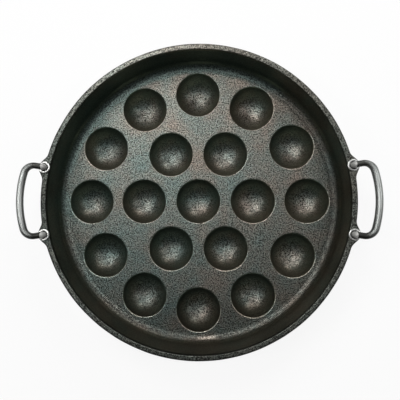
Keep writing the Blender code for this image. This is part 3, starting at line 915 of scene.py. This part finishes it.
class IronFinish(Finish):
    """The casting's material, with its places and how its surface lies.

    above counts from the floor, reach from the axis and past from where the floor stops being flat.
    upward is 1 on level faces that look up, and level on those that look down too. inner is 1 on
    all faces that look up and outer on the others, rim is 1 on the rim and far is 1 at the back.
    """

    def __init__(self, name):
        super().__init__(name)
        normal = result(self.tree, "TexCoord", "Normal")
        self.facing_back, self.upward = normal.axis("Y"), normal.axis("Z")
        self.level = abs(self.upward)
        self.inner = self.upward.rise(TURN_OVER)
        self.outer = 1.0 - self.inner
        self.above = self.up - FLOOR_Z
        self.reach = self.right.length(self.back)
        self.past = self.reach - WELL_FLAT
        self.rim = self.above.rise(RIM_START)
        self.far = self.back.rise(FAR_BACK)

    def warmth_of_oil_and_light(self):
        """How warm the iron's colour is, from 0 for blue green to 1 for rust: oil stains, and
        painted warm and cool light.
        """
        # Painted warm light on faces turned to the back, inside the well.
        inside = self.reach.ramp(WELL_END, WARM_LIGHT_FACING_BACK, 0) * self.upward.rise(TURN_UP)
        # Painted cool light low on the back wall, which faces the front.
        blue = (self.right * COOL_LIGHT_LEAN + self.back).ramp(COOL_LIGHT_BACKWARDS, 0, COOL_LIGHT)
        cool_light_wall = blue * self.past.rise(COOL_LIGHT_START) * self.above.fall(COOL_LIGHT_END) * self.inner
        warm = (
            self.facing_back * inside
            + self.back.ramp(WARM_BACKWARDS, *WARM_TO_BACK)
            + self.right.ramp(ACROSS, *WARM_TO_RIGHT)
            + self.place.noise(*IRON_STAIN).ramp(STAIN_SPAN, *WARM_STAINS)
            + cool_light_wall
        )
        plain = (self.rim * RIM_NEUTRAL).most(self.outer * OUTSIDE_NEUTRAL)
        rim = self.rim * self.back.ramp(BACK_RIM, 0, WARM_BACK_RIM)
        return (OIL_AND_LIGHT_NEUTRAL - warm) * plain + warm + rim

    def painted_corner_shade(self):
        """Painted shade in the corner between floor and wall, as a loss of brightness."""
        far_right = self.right * FAR_RIGHT[0] + self.back * FAR_RIGHT[1]
        start = self.past + far_right.ramp(CORNER_SHADE_FAR_RIGHT, 0, CORNER_SHADE_SHIFT)
        front = self.back.fall(CORNER_SHADE_FRONT)
        across = front.between(start.rise(CORNER_SHADE_START), self.past.rise(CORNER_SHADE_START_FRONT))
        height = self.far.between(self.above.fall(CORNER_SHADE_END), self.above.fall(CORNER_SHADE_END_BACK))
        depth = (
            self.back.ramp(CORNER_SHADE_BACKWARDS, *CORNER_SHADE_DEPTHS)
            + self.right.ramp(ACROSS, CORNER_SHADE_LEFT, 0)
            + self.past.ramp(DEEP_START, 0, DEEP_CORNER_SHADE) * self.far
        )
        return across * height * self.inner * depth

    def floor_wear_and_light(self):
        """The gains: painted light on the floor, worn cup lips lit further as a painted highlight,
        bowls lighter towards their bottoms and a painted highlight on the fillet in front.
        """
        # Painted light: the floor lighter at the back and darker in front.
        light = self.back.ramp(ACROSS, -FLOOR_LIGHT_GAIN, FLOOR_LIGHT_GAIN)
        light += self.back.ramp(FLOOR_FRONT, FLOOR_FRONT_SHADE, 0)
        floor = self.above.fall(FLOOR_TOP) * self.inner * light
        # Worn cup lips, made lighter still as a painted highlight along them.
        on_floor = self.above.rise(LIP_FOOT) * self.above.fall(LIP_TOP) * self.past.fall(FLOOR_END)
        lips = on_floor * self.level.ramp(LIP_TILT, LIP_WEAR_AND_HIGHLIGHT, 0)
        bowls = self.above.ramp(BOWL_HEIGHT, BOWL_GAIN, 0) * self.inner
        # A painted highlight on the fillet in front.
        beside = abs(self.right - GLINT_CENTRE).fall(GLINT_SIDE) * self.back.fall(GLINT_FRONT)
        glint = beside * self.past.rise(GLINT_START) * self.past.fall(GLINT_END) * self.inner
        return floor + lips + bowls + glint

    def painted_rim_shading(self):
        """The gains on the rim: painted light at the back left, painted shade at its ends and on
        its edges in front.
        """
        gains = (
            # Painted light at the back left, painted shade on the front edges and at the ends.
            (self.right * RIM_LEAN + self.back).ramp(RIM_BACKWARDS, *RIM_GAINS)
            + self.level.fall(EDGE_TILT) * self.back.ramp(ACROSS, *EDGE_GAINS)
            + self.back.ramp(FRONT_RIM, RIM_FRONT_GAIN, 0)
            + self.right.ramp(LEFT_RIM, RIM_LEFT_GAIN, 0)
            + self.right.ramp(RIGHT_RIM, 0, RIM_RIGHT_GAIN)
        )
        return self.rim * gains

    def brightness(self):
        """Painted light and shade on the iron by place, with the worn lips and lighter bowls, as a
        factor.
        """
        # Painted shade on steep faces inside, darker in front and lighter at the back.
        wall = self.level.fall(WALL_TILT) * self.back.ramp(ACROSS, *WALL_GAINS) * self.inner + 1.0
        # Painted shade on faces that do not look up.
        outside = self.upward.ramp(TURN_OVER, OUTSIDE_FACTOR, 1.0)
        # Painted light low on the wall, used at the back only.
        foot = self.above.ramp(FOOT_START, 0, FOOT_LIGHT_GAIN) * self.above.fall(FOOT_END) * self.inner
        gains = self.painted_rim_shading() + self.floor_wear_and_light() + self.painted_corner_shade() + foot * self.far
        return wall * outside * (gains + 1.0)


def iron_material():
    """Seasoned sand-cast iron: near black and grainy, with oil stains and painted warm and cool
    light in colours from blue green to rust, and painted light and shade by place.
    """
    iron = IronFinish("seasoned_cast_iron_look")
    grain, speck = iron.place.noise(*IRON_GRAIN), iron.place.noise(*IRON_SPECK)
    rough = iron.upward.ramp(GRAIN_TILT, STEEP_GRAIN, 1.0)
    base = (grain.ramp(GRAIN_SPAN, -0.5, 0.5) * rough + 0.5).mix(GRAIN_DARK, GRAIN_LIGHT)
    clean = iron.level.rise(OLIVE_TILT).most(iron.outer)
    oiled_and_lit = base.tinted(iron.warmth_of_oil_and_light().colours(OIL_AND_LIGHT_COLOURS)).tinted(clean.mix(OLIVE, CLEAN))
    # Painted light and shade by place, as a factor on the colour.
    colour = oiled_and_lit.tinted(iron.brightness())
    iron.set(colour, speck.ramp(NOISE_SPAN, *IRON_ROUGHNESS), IRON_METALLIC)
    pitted = grain.bump(rough * GRAIN_STRENGTH, GRAIN_HEIGHT)
    feed(iron.shader, {"Normal": speck.bump(SPECK_STRENGTH, SPECK_HEIGHT, pitted)})
    return iron.material


# Steel: the height of the drawing marks, and each finish's mark strength, colours and roughness. A
# pair of colours is mixed by clouds or by mottle.
MARK_HEIGHT = 0.05
NUT_MARKS, NUT_COLOURS = 0.3, ((0.4472, 0.4472, 0.4386), (0.52, 0.52, 0.51))
NUT_ROUGHNESS = (0.29, 0.41)
WASHER_MARKS, WASHER_COLOURS = 0.15, ((0.70, 0.70, 0.68), (0.84, 0.84, 0.82))
WASHER_ROUGHNESS = (0.27, 0.35)
# Painted shade on the washers close round the rod, and the distances from the pin over which it
# fades.
WASHER_SHADE, WASHER_SHADE_END = (0.09, 0.09, 0.085), (3.8, 4.3)
ROD_MARKS, ROD_ROUGHNESS, GRIP_SMOOTHER = 0.4, (0.46, 0.54), 0.12
GRIP_COLOURS = ((0.355, 0.372, 0.36), (0.465, 0.482, 0.468))
# Painted shade: the dark colours of the rod's ends.
END_SHADE_COLOURS = ((0.035, 0.036, 0.033), (0.085, 0.085, 0.08))
RUBBED_COLOURS = ((0.36, 0.36, 0.345), (0.50, 0.50, 0.48))
ROD_METALLIC, RUBBED_LESS_METALLIC = 0.95, 0.65

# Where the rod changes, in millimetres: grip and knuckle outside the line of the pins, the first
# with an uneven edge, and the front part of the rod, which gets this share of the light.
GRIP_START, GRIP_EDGE = (8.5, 18.5), 1.5
KNUCKLE_END = (1.0, 1.4)
ROD_FRONT, ROD_FRONT_FACTOR = (-34, 2), 0.58


class SteelFinish(Finish):
    """A steel material with marks and clouds, and its distance outside the line of the pins."""

    def __init__(self, name, mark_strength):
        super().__init__(name)
        self.cloud, self.marks = self.place.noise(*STEEL_CLOUD), self.place.noise(*STEEL_SCRATCH)
        self.out = abs(self.right) - PIN_X
        feed(self.shader, {"Normal": self.marks.bump(mark_strength, MARK_HEIGHT)})


def nut_material():
    """Plain steel nuts, a little duller in clouds."""
    steel = SteelFinish("nut_steel_look", NUT_MARKS)
    steel.set(steel.cloud.mix(*NUT_COLOURS), steel.marks.ramp(NOISE_SPAN, *NUT_ROUGHNESS), 1.0)
    return steel.material


def washer_material():
    """Bright plated washers with painted shade close round the rod."""
    steel = SteelFinish("washer_steel_look", WASHER_MARKS)
    from_pin = steel.out.length(abs(steel.back) - PIN_SPAN / 2)
    # Painted shade close round the rod.
    colour = from_pin.rise(WASHER_SHADE_END).mix(WASHER_SHADE, steel.cloud.mix(*WASHER_COLOURS))
    steel.set(colour, steel.marks.ramp(NOISE_SPAN, *WASHER_ROUGHNESS), 1.0)
    return steel.material


def rod_material():
    """Bent steel rod: a satin grip, its ends painted dark as shade, and a rubbed knuckle over each
    pin.
    """
    steel = SteelFinish("handle_steel_look", ROD_MARKS)
    mottle = steel.place.noise(*ROD_MOTTLE)
    grip = (steel.out + mottle.ramp(NOISE_SPAN, -GRIP_EDGE, GRIP_EDGE)).rise(GRIP_START)
    knuckle = steel.out.fall(KNUCKLE_END)
    # The rod's ends are painted dark as shade, and the grip is satin steel.
    bow = grip.mix(mottle.mix(*END_SHADE_COLOURS), steel.cloud.mix(*GRIP_COLOURS))
    bow = bow.tinted(steel.back.ramp(ROD_FRONT, ROD_FRONT_FACTOR, 1.0))
    steel.set(
        knuckle.mix(bow, mottle.mix(*RUBBED_COLOURS)),
        steel.marks.ramp(NOISE_SPAN, *ROD_ROUGHNESS) - grip * GRIP_SMOOTHER,
        ROD_METALLIC - knuckle * RUBBED_LESS_METALLIC,
    )
    return steel.material


# The angles over which edges stay sharp, in degrees, and how the nuts are turned, in radians.
CASTING_SHARP = 40
ROD_SHARP = 50
FASTENER_SHARP = 30
NUT_TURN, NUT_TURN_STEP = 0.35, 1.3


def dress(obj, material, node, sharp_degrees):
    """Gives a piece its finish and lets it stand for its CAD node."""
    obj.data.materials.clear()
    obj.data.materials.append(material)
    smooth(obj.data, sharp_degrees)
    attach(obj, "root")
    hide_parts(node)


def build_casting():
    """The casting with its bores and its skin."""
    body = add_object("casting", casting_mesh())
    cut(body, bore_mesh())
    cast_skin(body.data)
    dress(body, iron_material(), "pan_body", CASTING_SHARP)


def build_handles():
    """The two rods, the left one turned half round."""
    rod = rod_material()
    mesh = handle_mesh()
    for side, name in ((-1, "left"), (1, "right")):
        piece = add_object(name + "_rod", mesh.copy())
        turn = Matrix.Rotation(0 if side > 0 else math.pi, 4, "Z")
        piece.data.transform(Matrix.Translation((side * PIN_X * MM, 0, 0)) @ turn)
        dress(piece, rod, name + "_handle", ROD_SHARP)


def build_fasteners():
    """A washer above each lug, and a washer and a nut below it, each nut turned differently."""
    steel, nut_steel = washer_material(), nut_material()
    washer, nut = washer_mesh(), nut_mesh()
    kinds = (
        ("lug_washer_", "top_washer_", washer, TOP_WASHER_Z, steel, "washer_steel"),
        ("back_washer_", "under_washer_", washer, UNDER_WASHER_Z, steel, "washer_steel"),
        ("hex_nut_", "nut_", nut, NUT_Z, nut_steel, "nut_steel"),
    )
    for i, (place, side_x, side_y) in enumerate(PINS):
        x, y = pin_place(side_x, side_y)
        for label, node, mesh, height, material, slot_name in kinds:
            piece = add_object(label + place, mesh.copy())
            turn = Matrix.Rotation(NUT_TURN + NUT_TURN_STEP * i if mesh is nut else 0.0, 4, "Z")
            piece.data.transform(Matrix.Translation(Vector((x, y, height)) * MM) @ turn)
            dress(piece, material, node + place, FASTENER_SHARP)


# The camera: lens and film in millimetres, place and range in metres and turns in degrees.
LENS = 36.65
FILM_WIDTH = 36.0
CAMERA_PLACE = (0.0180, -0.0133, 0.4351)
CAMERA_TURNS = (2.03, 2.25, -0.15)
NEAREST, FARTHEST = 0.01, 50.0

# Lamps: name, degrees right of straight up and to the back, width and depth in metres, watts.
# They all stand this far, in metres, from a point over the middle of the pan.
LAMPS = (
    ("key", -18, 38, 0.32, 0.55, 6.3),
    ("back", 20, 54, 0.28, 0.46, 4.9),
    ("top", -6, 11, 0.40, 0.55, 4.4),
    ("left", -40, 4, 0.26, 0.36, 2.5),
    ("right", 44, 10, 0.28, 0.55, 2.5),
    ("front", 0, -20, 1.2, 0.23, 0.7),
)
LAMP_DISTANCE = 1.3
LAMP_AIM = (0, 0, 0.03)

# The floor: its rings in millimetres, how far it lies under the pan in metres, its finish, and how
# much of what is seen of it directly is plain white instead of lit.
FLOOR_RINGS, FLOOR_SEGMENTS = (3000, 1500, 600), 96
FLOOR_DROP = 0.0002
FLOOR_COLOUR, FLOOR_ROUGHNESS, FLOOR_SPECULAR = (0.93, 0.93, 0.93), 0.9, 0.1
FLOOR_WHITE = 0.88

# Mirror rays see the room only near the horizon and below it, by the height of their direction.
HORIZON = (0.02, 0.08)


def build_camera():
    """The photograph's view: almost straight down, from a little in front."""
    camera = bpy.data.cameras.new("camera")
    camera.lens = LENS
    camera.sensor_width = FILM_WIDTH
    camera.clip_start = NEAREST
    camera.clip_end = FARTHEST
    obj = add_object("camera", camera)
    obj.location = CAMERA_PLACE
    obj.rotation_euler = Euler([math.radians(a) for a in CAMERA_TURNS])
    bpy.context.scene.camera = obj


def seen_directly(tree, mirrored):
    """1 for camera and glass rays, this share for mirror rays, 0 for the rays that light things."""
    kinds = ("Camera", "Transmission", "Glossy")
    camera, glass, mirror = (result(tree, "LightPath", f"Is {kind} Ray") for kind in kinds)
    return camera.most(glass).most(mirror * mirrored)


def build_floor():
    """A plain white floor that keeps a faint shadow and can be looked through from below."""
    shell = Shell()
    rings = turned([(radius, 0.0) for radius in FLOOR_RINGS], FLOOR_SEGMENTS)
    shell.rings(rings)
    shell.fan(rings[-1], (0, 0, 0))
    floor = add_object("floor", shell.mesh("floor"))
    finish = Finish("floor_white")
    finish.set(FLOOR_COLOUR, FLOOR_ROUGHNESS, 0.0)
    feed(finish.shader, {"Specular IOR Level": FLOOR_SPECULAR})
    tree = finish.tree
    lit, white = Value(finish.shader.outputs["BSDF"]), result(tree, "Emission", "Emission")
    top = mixed_shaders(tree, seen_directly(tree, 1.0) * FLOOR_WHITE, lit, white)
    below = result(tree, "NewGeometry", "Backfacing")
    clear = result(tree, "BsdfTransparent", "BSDF")
    feed(tree.nodes["Material Output"], {"Surface": mixed_shaders(tree, below, top, clear)})
    floor.data.materials.append(finish.material)
    floor.location.z = -FLOOR_DROP


def build_lamps():
    """Soft lamps from the back and above, with weaker ones round them, none of them seen."""
    for name, right, back, width, depth, power in LAMPS:
        light = bpy.data.lights.new(name, "AREA")
        light.shape = "RECTANGLE"
        light.size = width
        light.size_y = depth
        light.energy = power
        lamp = add_object(name, light)
        x, y = math.radians(right), math.radians(back)
        direction = Vector((math.sin(x), math.cos(x) * math.sin(y), math.cos(x) * math.cos(y)))
        lamp.location = Vector(LAMP_AIM) + direction * LAMP_DISTANCE
        lamp.rotation_euler = direction.to_track_quat("Z", "Y").to_euler()
        lamp.visible_camera = False


def build_room():
    """A white room that is seen but lights nothing."""
    world = bpy.data.worlds.new("studio")
    bpy.context.scene.world = world
    world.use_nodes = True
    tree = world.node_tree
    mirrored = result(tree, "TexCoord", "Generated").axis("Z").fall(HORIZON)
    feed(tree.nodes["Background"], {"Color": (1, 1, 1), "Strength": seen_directly(tree, mirrored)})
    bpy.context.scene.view_settings.view_transform = "Standard"


build_camera()
build_casting()
build_handles()
build_fasteners()
build_floor()
build_lamps()
build_room()
